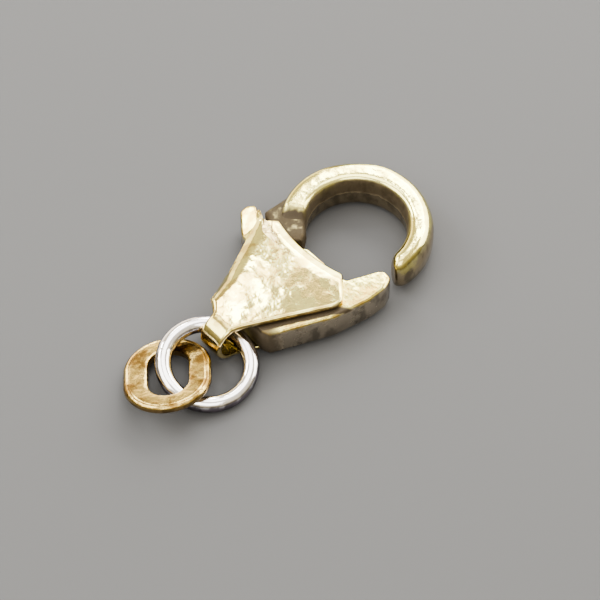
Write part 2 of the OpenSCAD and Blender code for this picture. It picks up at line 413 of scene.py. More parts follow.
# %% The section of the edge
RIM_R = 0.05
WALL_FROM, WALL_TO = -6.95, -6.03
ARC_ROWS, RIM_ROWS, UNDER_ROWS = 9, 4, 7


def edge_section(closed):
    """How far in and how far down each step across the strip lies, for every place along it.

    The arc: inward w (1 - sin a), down w (1 - cos a), for a strip of width w. The rim and the inside of a
    closed fold are arcs too, and the underside is level.
    """
    depth = np.where(closed, MID, SHEET)
    rim = np.where(closed, 0.0, RIM_R)
    turn_end = np.arccos(np.clip(1 - (depth - rim) / width, 0, 1))
    a = np.minimum(np.linspace(0, math.pi / 2, ARC_ROWS)[:, None], turn_end)
    b = np.linspace(0, math.pi / 2, RIM_ROWS)[:, None]
    c = np.linspace(math.pi / 2, 0, UNDER_ROWS - 1)[:, None]
    arc_in = width * (1 - np.sin(a))
    arc_down = width * (1 - np.cos(a))
    edge = arc_in[-1]
    rim_in = edge + rim * (1 - np.cos(b))
    rim_down = depth - rim + rim * np.sin(b)
    under_in = edge + rim + (width - edge - rim) * np.linspace(0, 1, UNDER_ROWS)[:, None]
    wall_in = np.vstack([SHEET + 0 * width[None], width - (width - SHEET) * np.sin(c)])
    wall_down = np.vstack([MID + 0 * width[None], width - (width - SHEET) * np.cos(c)])
    inward = np.vstack([arc_in, rim_in, np.where(closed, wall_in, under_in)])
    down = np.vstack([arc_down, rim_down, np.where(closed, wall_down, SHEET)])
    return inward, down, depth


def edge_strip():
    """The strip's points: the outer outline moved in, and the section's depth below the cheek's height."""
    on_high_side = np.arange(len(outer)) > low_count + front_count
    closed = (outer[:, 0] > WALL_FROM) & (outer[:, 0] < WALL_TO) & on_high_side
    inward, down, depth = edge_section(closed)
    xy = outer + (inward / width)[:, :, None] * (inner - outer)
    z = HEIGHT - down
    x, y = xy[:ARC_ROWS, :, 0], xy[:ARC_ROWS, :, 1]
    z[:ARC_ROWS] -= dome_drop(x, y) * (1 - down[:ARC_ROWS] / depth)
    z[:ARC_ROWS] = np.minimum(z[:ARC_ROWS], fold_top(x, y))
    return np.dstack([xy, z])


print("rows and columns of the strip:", edge_strip().shape[:2])

# %% [markdown]
# The cheek and the bend
#
# Inside the strip the cheek is filled by rows that run from one long side to the other. The first rows
# bend to follow the front's arc, and the bend fades with each row. Then everything behind the eye's
# centre is wrapped round it: a length s along the sheet becomes the angle s / r, as when the real blank
# is bent on a mandrel.

# %% One cheek, flat
FADE_ROWS = 30


def fill_rows():
    """Places (x, y) inside the strip: low (1 - w) + high w, plus a fading share of the front's arc."""
    low, high = inner[: low_count + 1][::-1], inner[low_count + front_count:]
    front_points = inner[low_count: low_count + front_count + 1]
    w = np.linspace(0, 1, front_count + 1)[None, :, None]
    rows = low[:, None] * (1 - w) + high[:, None] * w
    fade = np.clip(1 - np.arange(len(low)) / FADE_ROWS, 0, 1)[:, None, None] ** 1.5
    return rows + fade * (front_points[None] - rows[:1])


def cheek():
    """Points (x, y, z) and quads of one cheek with its half of the strap, before the bend."""
    rows = fill_rows()
    x, y = rows[..., 0], rows[..., 1]
    outside = np.minimum(HEIGHT - dome_drop(x, y), fold_top(x, y))
    inside = np.full(x.shape, HEIGHT - SHEET)
    grids = [edge_strip(), np.dstack([rows, outside]), np.dstack([rows, inside])]
    starts = np.cumsum([0] + [grid.shape[0] * grid.shape[1] for grid in grids])
    quads = [grid_faces(numbered(grid, start)) for grid, start in zip(grids, starts)]
    return np.vstack([grid.reshape(-1, 3) for grid in grids]), np.vstack(quads)


half, half_quads = cheek()
print("one cheek:", len(half), "points")

# %% Both cheeks, bent round the eye
def wrap(points):
    """What lies behind the eye's centre is bent round it; what lies past half a turn is flat again below.

    With s the length behind the eye's centre and p the height over the middle, the angle is s / r. Then
    x = eye - p sin(s / r) and z = middle + p cos(s / r).
    """
    s = EYE_X - points[:, 0]
    turn = np.clip(s / BEND_R, 0, math.pi)
    rho = points[:, 2] - MID
    past = np.maximum(s - BEND_R * math.pi, 0)
    x = EYE_X - np.minimum(s, 0) * (s < 0) - rho * np.sin(turn) + past
    return np.stack([x, points[:, 1], MID + rho * np.cos(turn)], axis=1)


far = half * [-1, 1, 1] + [2 * FOLD_BACK, 0, 0]
both = wrap(np.vstack([half, far]))
both_quads = np.vstack([half_quads, half_quads + len(half)])
meets_the_other = (np.abs(both[both_quads][:, :, 2] - MID) < 1e-4).all(axis=1)
housing = make_piece("housing", both, both_quads[~meets_the_other], crisp=50)
place(housing, "clasp_body", "body")

# %% [markdown]
# Hook ring
#
# The real ring is cast, filed and polished, so its section is tall with soft edges, and rounder toward
# the point, where it has worn. A curve with a profile object is one way to make it, but that profile
# keeps its shape all the way. So the section |x/a|^n + |z/b|^n = 1 is turned about the origin, and a, b
# and n change with the angle. Both ends close by a rounded step. The face at the ring's point follows a
# circle round the hinge, so the lever's tip passes it at an even gap.

# %% Sizes of the ring
RING_WIDTH = 1.12
RING_HEIGHT = 1.8
RING_MID_R = RING_R - RING_WIDTH / 2
RING_END = math.radians(150.0)
# The lever's tip is this far from the hinge, and the ring's point stays off its circle by a gap
LEVER_REACH = 5.05
POINT_GAP = 0.4
TIP_ROUND, TIP_STRETCH = 0.34, 1.5
END_ROUND = 0.2
SLOPE_END, SLOPE_RUN = math.radians(136.0), 0.75
# The ring's end goes down to the root's height and a little further, so it hides inside the root
ROOT_HEIGHT = 1.1
RING_SINK = 0.06
print("ring's middle radius:", round(RING_MID_R, 3))

# %% Section, ends and point
def soft_box(angle, a, b, power=4.0):
    """A box with soft edges: points of |x/a|^n + |z/b|^n = 1 at the given angles round it."""
    c, s = np.cos(angle), np.sin(angle)
    r = (np.abs(c) ** power + np.abs(s) ** power) ** (-1 / power)
    return a * r * c, b * r * s


def end_steps(radius, count=7):
    """Distance from a rounded end, r (1 - sin a), and how far the section has shrunk, r (1 - cos a)."""
    a = np.linspace(0, math.pi / 2, count)
    return radius * (1 - np.sin(a)), radius * (1 - np.cos(a))


def point_turn(r):
    """The angle at which a circle of radius r meets the circle round the hinge, by the law of cosines."""
    hinge_r, hinge_turn = np.hypot(*HINGE), math.atan2(HINGE[1], HINGE[0])
    c = (r ** 2 + hinge_r ** 2 - (LEVER_REACH + POINT_GAP) ** 2) / (2 * r * hinge_r)
    return hinge_turn + np.arccos(np.clip(c, -1, 1))


RING_START = point_turn(RING_MID_R)
print("the ring's point is at", round(math.degrees(RING_START), 2), "degrees")

# %% The ring's sections
def ring_stations():
    """The angle of each section along the ring, how much it has shrunk, and how full it is.

    The first and last three sections lie at the ends and go from 0 to nearly full, which closes the ring.
    """
    tip_run, tip_in = end_steps(TIP_ROUND, 13)
    tip_run = TIP_STRETCH * tip_run
    end_run, end_in = end_steps(END_ROUND)
    first = RING_START + (TIP_STRETCH * TIP_ROUND + 0.03) / RING_MID_R
    last = RING_END - (END_ROUND + 0.02) / RING_MID_R
    between = np.linspace(first, last, 140)
    start_turns, end_turns = RING_START + tip_run[::-1] / RING_MID_R, RING_END - end_run / RING_MID_R
    turn = np.r_[start_turns, between, end_turns][:, None]
    shrink = np.r_[tip_in[::-1], 0 * between, end_in][:, None]
    cap = np.array([0.0, 0.35, 0.7])[:, None]
    fill = np.vstack([cap, np.ones_like(shrink), cap[::-1]])
    turn = np.vstack([turn[:1] + 0 * cap, turn, turn[-1:] + 0 * cap])
    shrink = np.vstack([shrink[:1] + 0 * cap, shrink, shrink[-1:] + 0 * cap])
    return turn, shrink, fill


print("sections along the ring:", len(ring_stations()[0]))

# %% The ring's wear
# How steeply each grows, the x where it begins, and its place along the ring in degrees
FILED, FILED_FROM = 0.3, 0.24
FILED_AT, FILED_HALF = 52, 17
WORN, WORN_FROM = 0.9, 0.04
WORN_TO, WORN_OVER = 25, 50


def ring_wear(turn, x):
    """The share of the upper half that is gone: a filed flat far out, and a worn shoulder at the point.

    The flat fades along the ring by exp(-(t / w)^4) and grows with x. The shoulder grows with x squared.
    """
    degrees = np.degrees(turn)
    filed = np.exp(-((degrees - FILED_AT) / FILED_HALF) ** 4) * FILED * np.maximum(x - FILED_FROM, 0)
    worn = np.clip((WORN_TO - degrees) / WORN_OVER, 0, 1) * WORN * np.maximum(x - WORN_FROM, 0) ** 2
    return (filed + worn) / (RING_HEIGHT / 2)


print("share worn off the outer shoulder:", round(float(ring_wear(RING_START, RING_WIDTH / 2)), 2))

# %% The ring's surface
POWER_FAR, POWER_TIP, POWER_RUN = 4.4, 2.2, 2.6
TAPER, TAPER_RUN = 0.04, 0.7
SKEW_RUN = 0.6
SEAM, SEAM_HALF = 0.02, 0.035


def ring_surface():
    """Points of the ring: a section's point (x, z) at the angle t has the radius R + x and the height z.

    The power n grows away from the point. Before the root the section gets lower by a smooth step. A fine
    seam stands proud on the inside, where the mould's halves met.
    """
    phi = np.linspace(0, 2 * math.pi, 97)[:-1][None]
    turn, shrink, fill = ring_stations()
    from_tip = (turn - RING_START) * RING_MID_R
    taper = TAPER * np.exp(-np.maximum(from_tip, 0) / TAPER_RUN)
    power = POWER_FAR - (POWER_FAR - POWER_TIP) * np.exp(-(from_tip / POWER_RUN) ** 2)
    to_root = np.clip(1 - (SLOPE_END - turn) * RING_MID_R / SLOPE_RUN, 0, 1)
    slope = ((RING_HEIGHT - ROOT_HEIGHT) / 2 + RING_SINK) * smooth_step(to_root)
    half_width = RING_WIDTH / 2 - shrink - taper
    half_height = RING_HEIGHT / 2 - shrink - taper - slope
    x, z = soft_box(phi, half_width, half_height, power)
    seam = SEAM * np.exp(-(z / SEAM_HALF) ** 2) * (x < 0) * (shrink < 0.01)
    x = x - seam
    z = np.where(z > 0, z * (1 - ring_wear(turn, x)), z)
    r = RING_MID_R + fill * x
    skew = np.exp(-np.maximum(from_tip, 0) / SKEW_RUN)
    angle = turn + skew * (point_turn(r) - RING_START)
    return np.dstack([r * np.cos(angle), r * np.sin(angle), MID + fill * z])


ring = ring_surface()
hook_ring = make_piece("hook_ring", ring, grid_faces(numbered(ring), close_v=True), crisp=60)
place(hook_ring, "clasp_body", "body")

# %% [markdown]
# The root
#
# Where the ring goes in under the cheek, the real clasp has a lower lump of metal that was soldered on
# and filed. It is cut like thick sheet, so it needs only an outline and two heights. The lever is made in
# the same way. The outline gets a rounded strip on top, a wall and a finer strip below. Each flat face is
# one polygon inside a narrow level strip, which keeps the shading of the rounded edge off it.

# %% A plate from an outline
LEVEL_STRIP = 0.02


def plate(rows, low, top, low_edge=0.06):
    """Loops of points from the top face's border over the rounded edge and the wall to the lower face.

    The upper edge is an arc of radius e: inward e (1 - sin a), down e (1 - cos a). So is the lower one.
    """
    outer, inner, width = strip_of(rows)
    edge = width / 1.2
    a = np.linspace(0, math.pi / 2, 7)[:, None]
    b = np.linspace(0, math.pi / 2, 4)[:, None]
    same = 0 * width[None]
    top_in, top_z = edge * (1 - np.sin(a)), top - edge * (1 - np.cos(a))
    low_in, low_z = low_edge * (1 - np.cos(b)) + same, low + low_edge * (1 - np.sin(b)) + same
    inward = np.vstack([width + same, top_in, low_in, low_edge + LEVEL_STRIP + same])
    z = np.vstack([top + same, top_z, low_z, low + same])
    xy = outer + (inward / width)[:, :, None] * (inner - outer)
    points = np.dstack([xy, z])
    ids = numbered(points)
    return points, grid_faces(ids, close_v=True), [ids[0], ids[-1][::-1]]


# Columns: place, corner radius, strip width before and after the corner, points to the next corner
root_table = [
    ([-0.35, 2.3], 0.1, 0.3, 0.3, 8),
    ([-0.55, 3.18], 0.1, 0.3, 0.45, 14),
    ([-2.38, 3.26], 0.3, 0.45, 0.3, 10),
    ([-3.06, 2.1], 0.1, 0.2, 0.1, 6),
    ([-2.76, 1.45], 0.1, 0.1, 0.1, 6),
    ([-2.53, 1.07], 0.1, 0.1, 0.15, 6),
    ([-2.3, 0.93], 0.1, 0.15, 0.25, 6),
    ([-1.97, 1.1], 0.2, 0.25, 0.25, 6),
    ([-1.6, 1.56], 0.4, 0.25, 0.3, 6),
    ([-1.15, 1.92], 0.4, 0.3, 0.3, 8),
]
root_low, root_top = MID - ROOT_HEIGHT / 2, MID + ROOT_HEIGHT / 2
root_points, root_quads, root_caps = plate(root_table, root_low, root_top, low_edge=0.2)
ring_root = make_piece("ring_root", root_points, root_quads, root_caps)
place(ring_root, "clasp_body", "body")

# %% [markdown]
# Lever
#
# The real lever is one thick stamping: the gate's arm, the web between the cheeks, the heel, and a neck
# that ends in the thumb's tab. Its outline runs from the gate's tip along the inside, out and back round
# the tab, round the heel and along the outside of the gate. The neck's places are given along and across
# it, because it stands at an angle, and the tab would be hard to draw in x and y.

# %% The lever's outline
NECK_ANGLE = math.radians(59.9)
NECK_COS, NECK_SIN = math.cos(NECK_ANGLE), math.sin(NECK_ANGLE)
NECK_WIDTH = 0.85
TAB_REACH = 4.9
HEEL_X = lever_low[0]


def from_hinge(along, across):
    """A place given along and across the neck, counted from the hinge."""
    x = HINGE[0] + NECK_COS * along - NECK_SIN * across
    return [x, HINGE[1] + NECK_SIN * along + NECK_COS * across]


half_neck = NECK_WIDTH / 2
# Columns: place, corner radius, strip width before and after the corner, points to the next corner
lever_table = [
    ([-0.98, -3.16], 0.3, 0.24, 0.14, 12),
    ([-0.922, -2.71], 0.15, 0.14, 0.14, 6),
    ([-1.13, -2.51], 0.15, 0.14, 0.12, 12),
    ([-1.9, -2.2], 0.4, 0.12, 0.1, 10),
    ([-2.5, -1.95], 0.25, 0.1, 0.1, 12),
    ([-2.51, 0.36], 0.3, 0.1, 0.1, 10),
    ([-2.9, 0.8], 0.2, 0.1, 0.1, 10),
    (from_hinge(2.4, -half_neck), 0.1, 0.1, 0.12, 12),
    (from_hinge(0.97 * TAB_REACH, -half_neck), 0.22, 0.12, 0.14, 8),
    (from_hinge(1.01 * TAB_REACH, -0.05 * NECK_WIDTH), 0.25, 0.14, 0.14, 8),
    (from_hinge(0.985 * TAB_REACH, 0.3 * NECK_WIDTH), 0.17, 0.14, 0.12, 10),
    (from_hinge(0.78 * TAB_REACH, half_neck), 0.3, 0.12, 0.1, 10),
    (from_hinge(1.42, half_neck), 0.15, 0.1, 0.08, 8),
    ([-6.5, 0.66], 0.5, 0.08, 0.08, 8),
    ([HEEL_X, 0.1], 0.3, 0.08, 0.08, 10),
    ([HEEL_X, -1.6], 0.15, 0.08, 0.1, 6),
    ([-6.75, -1.95], 0.25, 0.1, 0.2, 20),
    ([-4.13, -3.07], 1.5, 0.2, 0.22, 16),
    ([-2.4, -3.4], 1.2, 0.22, 0.22, 10),
    ([-1.5, -3.4], 0.6, 0.22, 0.24, 8),
]
lever_points, lever_quads, lever_caps = plate(lever_table, LEVER_LOW, LEVER_TOP)
print("points round the lever:", lever_points.shape[1])

# %% [markdown]
# The thumb's tab
#
# The thumb pushes on a face that slopes down toward the eye, with its ridge on the side of the hook. It
# could be cut with a boolean, but that leaves a hard edge all round. Here every point of the tab is
# lowered instead, by more the further it lies from the ridge and the higher it was, so the rounded strip
# stays round. The sloped face is a polygon of its own, and the level rest is another, so both stay flat.

# %% The tab's slope, and the lever
TAB_FROM, TAB_FADE = 3.0, 0.4
TAB_SLOPE = math.tan(math.radians(28))
RIDGE = 0.4 * NECK_WIDTH


def slope_tab(points):
    """Each point falls by its distance from the ridge, times the slope, times its share of the height."""
    x, y = points[..., 0] - HINGE[0], points[..., 1] - HINGE[1]
    along, across = NECK_COS * x + NECK_SIN * y, -NECK_SIN * x + NECK_COS * y
    share = smooth_step(np.clip((along - TAB_FROM) / TAB_FADE, 0, 1))
    rise = (points[..., 2] - LEVER_LOW) / (LEVER_TOP - LEVER_LOW)
    fall = np.maximum(across + RIDGE, 0) * TAB_SLOPE
    return points - np.dstack([0 * fall, 0 * fall, share * rise * fall])


along = (lever_points[0] - [*HINGE, 0]) @ [NECK_COS, NECK_SIN, 0]
on_tab = np.flatnonzero(along > TAB_FROM + TAB_FADE)
first, past = on_tab[0], on_tab[-1]
top_loop, low_loop = lever_caps
tab_face, rest_face = top_loop[first: past + 1], np.r_[top_loop[: first + 1], top_loop[past:]]
print("points round the tab's face:", len(tab_face))
lever = make_piece("lever", slope_tab(lever_points), lever_quads, [tab_face, rest_face, low_loop])
place(lever, "lever_body", "lever")

# %% [markdown]
# Hinge pin
#
# The real pin is a short turned rod through both cheeks and the lever, filed flush and polished over. The
# dressed cheeks cover its ends, so it stops just short of their faces. A profile of radius and height,
# turned about the hinge, gives it with its eased ends. A plain cylinder would have hard rims.

# %% The pin's profile, turned
# Columns: radius, height
pin_profile = np.array([
    (0.0, 0.04),
    (0.2, 0.04),
    (PIN_R - 0.04, 0.04),
    (PIN_R - 0.01, 0.05),
    (PIN_R, 0.08),
    (PIN_R, 1.87),
    (PIN_R - 0.01, 1.9),
    (PIN_R - 0.04, 1.91),
    (0.2, 1.91),
    (0.0, 1.91),
])
turn = np.linspace(0, 2 * math.pi, 49)[:-1]
pin_r, pin_z = pin_profile[:, :1], pin_profile[:, 1:]
pin = np.dstack([HINGE[0] + pin_r * np.cos(turn), HINGE[1] + pin_r * np.sin(turn), pin_z + 0 * turn])
hinge_pin = make_piece("hinge_pin", pin, grid_faces(numbered(pin), close_v=True))
place(hinge_pin, "clasp_body", "hinge_pin")

# %% [markdown]
# Jump ring
#
# The real jump ring is a length of round silver wire, bent in a circle and soldered shut. A torus from
# the menu would be too perfect: the wire is a little pinched at the joint and was never quite round. So
# the wire's radius is a function of the angle along the ring. The ring is made lying flat, then leaned
# and moved to where it lies in the eye.

# %% A turn of the whole piece
def turned(axis, degrees):
    """A rotation about one of the three axes, as a matrix for rows of points."""
    return np.array(Matrix.Rotation(math.radians(degrees), 3, axis)).T


print("x turned about z by 90 degrees:", np.round(np.array([1, 0, 0]) @ turned("Z", 90), 3))

# %% The wire, and where it lies
JUMP_R = 1.83
JUMP_WIRE_R = 0.35
JUMP_AT = np.array([-9.22, -0.82, 0.7554])
JUMP_LEAN, JUMP_TURN = 12.8, 78.0
JOINT_TURN = math.radians(45)
PINCH, PINCH_RUN = 0.05, 0.035
WAVE = 0.004

u = np.linspace(0, 2 * math.pi, 145)[:-1][:, None]
v = np.linspace(0, 2 * math.pi, 41)[:-1][None]
from_joint = np.angle(np.exp(1j * (u - JOINT_TURN)))
wire = JUMP_WIRE_R * (1 - PINCH * np.exp(-(from_joint / PINCH_RUN) ** 2) - WAVE * np.sin(5 * u) ** 2)
out_from_middle = JUMP_R + wire * np.cos(v)
flat_jump = np.dstack([out_from_middle * np.cos(u), out_from_middle * np.sin(u), wire * np.sin(v)])
jump = flat_jump @ turned("Y", -JUMP_LEAN) @ turned("Z", JUMP_TURN) + JUMP_AT
jump_ring = make_piece("jump_ring", jump, grid_faces(numbered(jump), True, True))
place(jump_ring, "clasp_body", "jump_ring")

# %% [markdown]
# End link
#
# The last link of the chain is a flat oval of gold with a smaller oval hole that isn't quite in its
# middle. Years of rubbing have left a shallow groove on its face and thinned its outer edge. A scaled
# torus can't have a hole that is off its middle. So both ovals are one formula, and every section is the
# soft box set between them.

# %% Two ovals
def oval(u, length, width):
    """Two half circles and the straight part between them, by the angle of the outward direction."""
    r = width / 2
    return np.hstack([r * np.cos(u) + (length - width) / 2 * np.sign(np.cos(u)), r * np.sin(u)])


LINK_LONG, LINK_WIDE = 4.48, 3.68
HOLE_LONG, HOLE_WIDE, HOLE_OFF = 2.82, 1.7, 0.05
u = np.r_[np.linspace(-0.5, 0.5, 49)[:-1], np.linspace(0.5, 1.5, 49)[:-1]][:, None] * math.pi
outside = oval(u, LINK_LONG, LINK_WIDE)
inside = oval(u, HOLE_LONG, HOLE_WIDE) - [0, HOLE_OFF]
middle = (outside + inside) / 2
reach = (outside - inside) / 2
print("the link's metal is", round(float(2 * np.hypot(*reach[0])), 3), "mm wide at its straight side")

# %% The worn section, and where the link lies
LINK_HALF = 0.2
GROOVE, GROOVE_AT, GROOVE_RUN = 0.035, 0.6, 0.07
THINNED, THIN_FROM = 0.45, 0.7
LINK_AT = JUMP_AT + [-1.61, 0.64, 0.04]
LINK_LEAN, LINK_TURN, LINK_SPIN = 15.4, 77.7, 50.6

bx, bz = soft_box(np.linspace(0, 2 * math.pi, 97)[:-1], 1.0, LINK_HALF, power=5.0)
bz = bz - GROOVE * np.exp(-((bx - GROOVE_AT) / GROOVE_RUN) ** 2) * np.sign(bz)
bz = bz * (1 - THINNED * np.clip((bx - THIN_FROM) / (1 - THIN_FROM), 0, 1) ** 2)
flat_xy = middle[:, None] + reach[:, None] * bx[None, :, None]
flat_link = np.dstack([flat_xy, bz + 0 * u])
lie = turned("Z", LINK_SPIN - LINK_TURN) @ turned("Y", LINK_LEAN) @ turned("Z", LINK_TURN)
link = flat_link @ lie + LINK_AT
end_link = make_piece("end_link", link, grid_faces(numbered(link), True, True))
place(end_link, "clasp_body", "end_link")

# %% [markdown]
# Finishes as expressions
#
# A finish is a tree of nodes. Wired by hand it is hard to read, so a small class wraps a node's output,
# and the maths of a finish reads as a plain expression: 1 - mask adds a maths node that subtracts.
# Colours never pass through maths nodes, which would turn them grey. They are blended by a mix node.

# %% One output of a node
class Out:
    """One output of a node. Arithmetic on it adds maths nodes to the same tree."""

    def __init__(self, maker, socket):
        self.maker = maker
        self.socket = socket

    def maths(self, operation, *others, swap=False):
        """One maths node on this output and the others; swap puts this output last."""
        values = [self, *others]
        if swap:
            values.reverse()
        return self.maker.node("ShaderNodeMath", {"operation": operation}, dict(enumerate(values)))

    def __add__(self, other):
        return self.maths("ADD", other)

    __radd__ = __add__

    def __sub__(self, other):
        return self.maths("SUBTRACT", other)

    def __rsub__(self, other):
        return self.maths("SUBTRACT", other, swap=True)

    def __mul__(self, other):
        return self.maths("MULTIPLY", other)

    __rmul__ = __mul__

    def __truediv__(self, other):
        return self.maths("DIVIDE", other)

    def __rtruediv__(self, other):
        return self.maths("DIVIDE", other, swap=True)

    def __pow__(self, other):
        return self.maths("POWER", other)

    def within(self, low, high):
        """0 below low, 1 above high and smooth between."""
        sockets = {"Value": self, "From Min": low, "From Max": high}
        return self.maker.node("ShaderNodeMapRange", {"interpolation_type": "SMOOTHSTEP"}, sockets)


def either(first, second):
    """1 where one of two masks is 1: 1 - (1 - a)(1 - b)."""
    return 1 - (1 - first) * (1 - second)


print("a number may stand first in:", [name for name in vars(Out) if name.startswith("__r")])

# %% A tree that makes any node
class Tree:
    """A tree of nodes, for a material or for the sky."""

    def __init__(self, tree):
        self.tree = tree

    def node(self, kind, settings=(), sockets=(), output=0):
        """A new node: its settings first, a ramp's stops among them, then its sockets' values or links."""
        made = self.tree.nodes.new(kind)
        for key, value in dict(settings).items():
            if key == "stops":
                self.set_stops(made.color_ramp, value)
            else:
                setattr(made, key, value)
        for key, value in dict(sockets).items():
            self.wire(made.inputs[key], value)
        return Out(self, made.outputs[output])

    def wire(self, socket, value):
        """A link from a node's output, or else a plain value."""
        if isinstance(value, Out):
            self.tree.links.new(value.socket, socket)
        else:
            socket.default_value = value

    def set_stops(self, ramp, stops):
        """A ramp's stops from places and colours; a new ramp already has two."""
        for k, (position, colour) in enumerate(stops):
            stop = ramp.elements[k] if k < 2 else ramp.elements.new(position)
            stop.position = position
            stop.color = (*colour, 1)


print("a tree has:", [name for name in vars(Tree) if not name.startswith("_")])

# %% A metal's material
# A mix node has sockets for each kind of value; these are the numbers of those for colours
MIX_SHARE, MIX_FIRST, MIX_SECOND, MIX_COLOUR = 0, 6, 7, 2


class Finish(Tree):
    """A material with one metallic shader."""

    def __init__(self, name, colour, roughness):
        self.material = bpy.data.materials.new(name)
        self.material.use_nodes = True
        super().__init__(self.material.node_tree)
        self.shader = self.tree.nodes["Principled BSDF"]
        self.shader.inputs["Base Color"].default_value = (*colour, 1)
        self.shader.inputs["Roughness"].default_value = roughness
        self.shader.inputs["Metallic"].default_value = 1.0
        self.place = self.node("ShaderNodeTexCoord", output="Object")

    def axes(self):
        """The place's x, y and z, in metres."""
        sockets = {"Vector": self.place}
        return [self.node("ShaderNodeSeparateXYZ", sockets=sockets, output=k) for k in ("X", "Y", "Z")]

    def noise(self, size, detail=3.0, stretch=(1, 1, 1), rough=0.5):
        """Noise whose lumps are about size millimetres across, drawn out along the axes by stretch."""
        scale = tuple(1 / (MM * size * k) for k in stretch)
        scaled = self.node("ShaderNodeMapping", sockets={"Vector": self.place, "Scale": scale})
        sockets = {"Vector": scaled, "Scale": 1.0, "Detail": detail, "Roughness": rough}
        return self.node("ShaderNodeTexNoise", sockets=sockets)

    def blend(self, share, first, second):
        """A colour between two, by a share from 0 to 1."""
        first, second = [c if isinstance(c, Out) else (*c, 1) for c in (first, second)]
        sockets = {MIX_SHARE: share, MIX_FIRST: first, MIX_SECOND: second}
        return self.node("ShaderNodeMix", {"data_type": "RGBA"}, sockets, MIX_COLOUR)

    def drive(self, socket, value):
        """An output feeds one of the shader's sockets."""
        self.wire(self.shader.inputs[socket], value)

    def bump(self, height, depth):
        """Relief of the given depth in millimetres."""
        sockets = {"Height": height, "Distance": depth * MM, "Strength": 1.0}
        self.drive("Normal", self.node("ShaderNodeBump", sockets=sockets))

    def on(self, piece):
        """The piece wears this finish alone."""
        piece.data.materials.clear()
        piece.data.materials.append(self.material)
        print(self.material.name, "on", piece.name, "with", len(self.tree.nodes), "nodes")


print("a finish has:", [name for name in vars(Finish) if not name.startswith("_")])

# %% [markdown]
# Worn metal, with painted light and shade
#
# All the clasp's metals share one recipe. Its colour carries painted light and shade: the same gold is
# painted pale on top, where it would meet the light, and painted brown on walls as painted shade. So the
# colour is blended by how far the surface faces up, and the walls are painted darker still in patches. A
# cloud of noise dulls it in smudges.
# Fine streaks roughen it, and low bumps bend the reflections as years of small knocks do. A picture of
# scratches would look the same from near, but it would need a flat layout of each piece.

# %% The recipe
# One dark colour for dirt and for painted shade, laid on by each piece's mask
GRIME_AND_SHADE = (0.06, 0.044, 0.024)


def metal(name, bright, dull, wall_shade, roughness, wear=0.6, lump=0.55, depth=0.02, dirt_and_shade=None):
    """Polished metal: painted light where it faces up, painted shade on its walls, with smudges, dents, and
    a mask of dirt and painted shade.
    """
    f = Finish(name, bright, roughness)
    cloud = f.noise(0.9, detail=5, rough=0.6).within(0.42, 0.6)
    fine = f.noise(0.10, detail=3, stretch=(6, 1, 1))
    facing = f.node("ShaderNodeAttribute", {"attribute_name": "facing_up"}, output="Fac")
    # Painted light and shade: the top is painted bright and the walls in shade, by how far each point faces
    # up
    top = (facing + 0.35 * (cloud - 0.5)).within(0.15, 0.75)
    patches = 0.75 * f.noise(0.5, detail=4, rough=0.6, stretch=(1, 1, 1.6)).within(0.45, 0.62)
    # Painted shade on the walls, darker in patches
    shaded_wall = f.blend(patches, wall_shade, tuple(0.4 * k for k in wall_shade))
    colour = f.blend(top, shaded_wall, f.blend(cloud * wear, bright, dull))
    rough = roughness + 0.06 * cloud + 0.05 * fine + 0.09 * (1 - top)
    # The mask paints dirt on some pieces and shade on others
    if dirt_and_shade:
        dirt_and_shade_share = dirt_and_shade(f)
        colour = f.blend(dirt_and_shade_share, colour, GRIME_AND_SHADE)
        rough = rough + 0.4 * dirt_and_shade_share
        f.drive("Metallic", 1 - 0.7 * dirt_and_shade_share)
    f.drive("Base Color", colour)
    f.drive("Roughness", rough)
    dents = f.noise(lump, detail=1.2) + 0.3 * f.noise(0.35 * lump, detail=3)
    f.bump(dents + 0.03 * fine, depth)
    return f


print("the grime's mean reflectance:", round(sum(GRIME_AND_SHADE) / 3, 3))

# %% [markdown]
# Housing: pale gold
#
# The cheeks are pale yellow gold, polished bright and then softly dented, so their reflections have wide,
# uneven edges. Beside the fold two hairlines show where the sheet was creased and cut. They are too fine
# to be shaped in the mesh, so each is a mask: the distance from a line, faded at both ends, and only on
# the upper face.

# %% Pale gold
HAIRLINES = [((-2.72, 2.37), (-3.26, 1.79), 0.03), ((-3.46, 2.04), (-2.98, 1.54), 0.022)]


def hairline(x, y, start, end, half_width):
    """1 on a line between two places, fading out at both ends.

    With the line's direction (ux, uy), the way along it is dx ux + dy uy, and the way off it dx uy - dy ux.
    """
    length = math.dist(start, end)
    ux, uy = (end[0] - start[0]) / length, (end[1] - start[1]) / length
    dx, dy = x / MM - start[0], y / MM - start[1]
    along = (dx * ux + dy * uy) / length
    off_squared = (dx * uy - dy * ux) ** 2
    on_line = 1 - off_squared.within(0.25 * half_width ** 2, half_width ** 2)
    return on_line * along.within(0, 0.1) * (1 - along.within(0.9, 1))


def on_the_housing(f):
    """Two hairlines on the corner beside the fold, where the sheet was creased and cut."""
    x, y, z = f.axes()
    lines = either(*[hairline(x, y, *each) for each in HAIRLINES])
    return 0.75 * lines * (z / MM).within(1.8, 1.85)


pale_gold = metal("pale_gold", (0.97, 0.90, 0.38), dull=(0.58, 0.45, 0.17), wall_shade=(0.97, 0.80, 0.42),
                  roughness=0.05, wear=0.9, lump=0.75, depth=0.021, dirt_and_shade=on_the_housing)
pale_gold.on(housing)

# %% [markdown]
# Hook ring: gold with dirt and painted shade at its joint
#
# The ring's top is as bright as the plate, and its walls are painted browner than the plate's, as painted
# shade. Where it was soldered in under the cheek it is darkened by dirt and painted shade, thinning out
# along it, and a band of painted shade lies under the upper edge of its inside. The first is the distance
# from the joint and the second a band of heights, and noise on both keeps their borders uneven.

# %% Ring gold
JOINT_AT = (-2.4 * MM, 1.6 * MM, 1.4 * MM)


